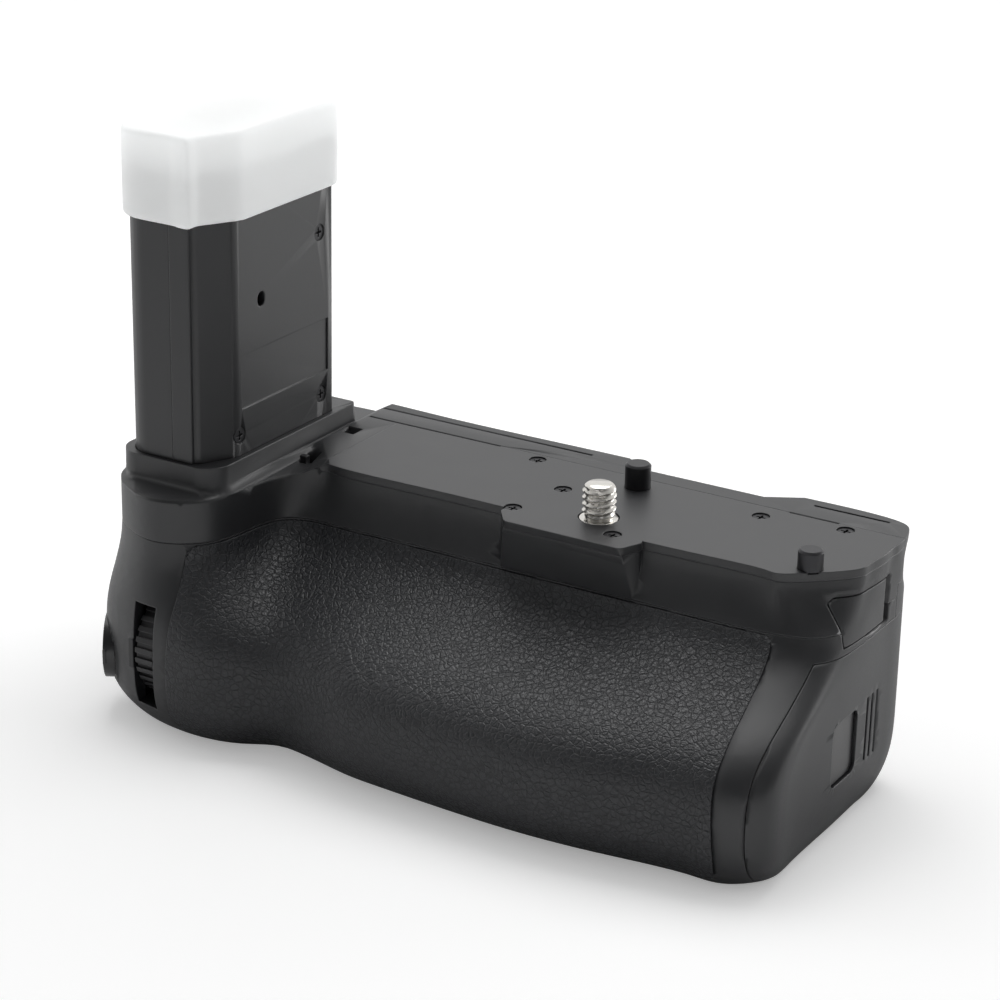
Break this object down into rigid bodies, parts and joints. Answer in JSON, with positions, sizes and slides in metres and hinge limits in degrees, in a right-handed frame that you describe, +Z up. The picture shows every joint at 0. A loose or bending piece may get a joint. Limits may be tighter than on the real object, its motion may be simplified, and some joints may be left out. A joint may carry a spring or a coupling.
{
  "type": "camera battery grip",
  "caption": "Vertical grip with a battery-shaped tower, knurled attachment wheel, camera screw, sliding battery tray and a second set of camera controls.",
  "frame": {"origin": "axis of the camera screw at the deck that the camera sits on", "axes": "+X towards the end where the battery tray comes out, +Y towards the back of the camera, +Z up into the camera"},
  "size_m": [0.1468, 0.0686, 0.1156],
  "materials": {
    "shell": "fine satin grain",
    "deck": "satin",
    "tower": "fine satin grain",
    "rubber": "leather grain",
    "cap": "frosted",
    "nickel": "polished",
    "black_steel": "satin",
    "dial": "matt",
    "gear": "machined",
    "steel": "turned",
    "alloy": "cast",
    "board": "lacquered",
    "strip": "film",
    "contact": "plated",
    "inner": "moulded",
    "button": "satin",
    "plate": "blackened"
  },
  "bodies": {
    "root": {"deck_plate": "deck", "deck_screws": "black_steel", "rear_pin": "black_steel", "front_pin": "black_steel", "top_housing": "shell", "chassis": "alloy", "idler_axle": "steel", "wheel_axle": "steel", "main_board": "board", "tower_flex": "strip", "tower_shell_right": "tower", "tower_shell_left": "tower", "tower_screws": "black_steel", "contact_block": "inner", "tower_contacts": "contact", "usb_board": "board", "usb_port": "steel", "front_grip_rubber": "rubber", "front_cover": "shell", "thumb_rubber": "rubber", "rear_cover": "shell", "base_plate": "plate", "base_screws": "black_steel", "tripod_socket": "steel", "tray_guide": "inner", "guide_contacts": "contact", "front_dial_axle": "steel", "rear_dial_axle": "steel", "shutter_switch": "board", "side_board": "board", "rear_board": "board"},
    "wheel": {"attachment_wheel": "dial"},
    "idler": {"idler_gear": "gear"},
    "screw": {"tripod_screw": "nickel", "screw_gear": "gear"},
    "cap": {"contact_cap": "cap"},
    "flap": {"usb_flap": "shell"},
    "tray": {"battery_tray": "inner", "tray_contacts": "contact", "end_cap": "shell", "latch_spring": "steel"},
    "latch": {"latch_button": "button"},
    "front_dial": {"front_dial": "dial"},
    "rear_dial": {"rear_dial": "dial"},
    "shutter_collar": {"shutter_collar": "button"},
    "shutter_button": {"shutter_button": "button"},
    "exposure_button": {"exposure_button": "button"},
    "sensitivity_button": {"sensitivity_button": "button"},
    "focus_button": {"focus_button": "button"},
    "selector_yoke": {"selector_yoke": "steel"},
    "selector_stick": {"selector_stick": "steel"},
    "selector_cap": {"selector_cap": "rubber"}
  },
  "joints": [
    {"name": "wheel_turn", "type": "hinge", "parent": "root", "child": "wheel", "pos_m": [0.0084, 0.01592, -0.005], "axis": [0, 0, 1], "continuous": true},
    {"name": "idler_turn", "type": "hinge", "parent": "root", "child": "idler", "pos_m": [0.00378, 0.00716, -0.0087], "axis": [0, 0, 1], "continuous": true},
    {"name": "screw_turn", "type": "hinge", "parent": "root", "child": "screw", "pos_m": [0, 0, 0], "axis": [0, 0, 1], "continuous": true},
    {"name": "cap_lift", "type": "slide", "parent": "root", "child": "cap", "axis": [0, 0, 1], "range_m": [0, 0.02]},
    {"name": "flap_turn", "type": "hinge", "parent": "root", "child": "flap", "pos_m": [0.05, -0.0019, -0.009], "axis": [0, 0, -1], "range_deg": [0, 100]},
    {"name": "tray_slide", "type": "slide", "parent": "root", "child": "tray", "axis": [1, 0, 0], "range_m": [0, 0.125]},
    {"name": "latch_press", "type": "slide", "parent": "tray", "child": "latch", "axis": [-1, 0, 0], "range_m": [0, 0.0012], "stiffness_N_per_m": 400, "deforming": ["latch_spring"]},
    {"name": "front_dial_turn", "type": "hinge", "parent": "root", "child": "front_dial", "pos_m": [-0.0764, -0.0262, -0.0332], "axis": [1, 0, 0], "continuous": true},
    {"name": "rear_dial_turn", "type": "hinge", "parent": "root", "child": "rear_dial", "pos_m": [-0.0764, 0.0194, -0.024], "axis": [1, 0, 0], "continuous": true},
    {"name": "lock_turn", "type": "hinge", "parent": "root", "child": "shutter_collar", "pos_m": [-0.0902, -0.0286, -0.037], "axis": [-0.866, -0.5, 0], "range_deg": [0, 40]},
    {"name": "shutter_press", "type": "slide", "parent": "root", "child": "shutter_button", "axis": [0.866, 0.5, 0], "range_m": [0, 0.0008], "stiffness_N_per_m": 250},
    {"name": "exposure_press", "type": "slide", "parent": "root", "child": "exposure_button", "axis": [1, 0, 0], "range_m": [0, 0.0006], "stiffness_N_per_m": 250},
    {"name": "sensitivity_press", "type": "slide", "parent": "root", "child": "sensitivity_button", "axis": [1, 0, 0], "range_m": [0, 0.0006], "stiffness_N_per_m": 250},
    {"name": "focus_press", "type": "slide", "parent": "root", "child": "focus_button", "axis": [0, -1, 0], "range_m": [0, 0.0006], "stiffness_N_per_m": 250},
    {"name": "selector_up_down", "type": "hinge", "parent": "root", "child": "selector_yoke", "pos_m": [-0.058, 0.02531, -0.033], "axis": [1, 0, 0], "range_deg": [-5, 5], "stiffness_Nm_per_rad": 0.02},
    {"name": "selector_left_right", "type": "hinge", "parent": "selector_yoke", "child": "selector_stick", "pos_m": [-0.058, 0.02531, -0.033], "axis": [0, 0, 1], "range_deg": [-5, 5], "stiffness_Nm_per_rad": 0.02},
    {"name": "selector_press", "type": "slide", "parent": "selector_stick", "child": "selector_cap", "axis": [0, -1, 0], "range_m": [0, 0.0004], "stiffness_N_per_m": 250}
  ],
  "couplings": [
    {"joint": "idler_turn", "follows": "wheel_turn", "ratio": -1.5385},
    {"joint": "screw_turn", "follows": "wheel_turn", "ratio": 1.4286}
  ]
}
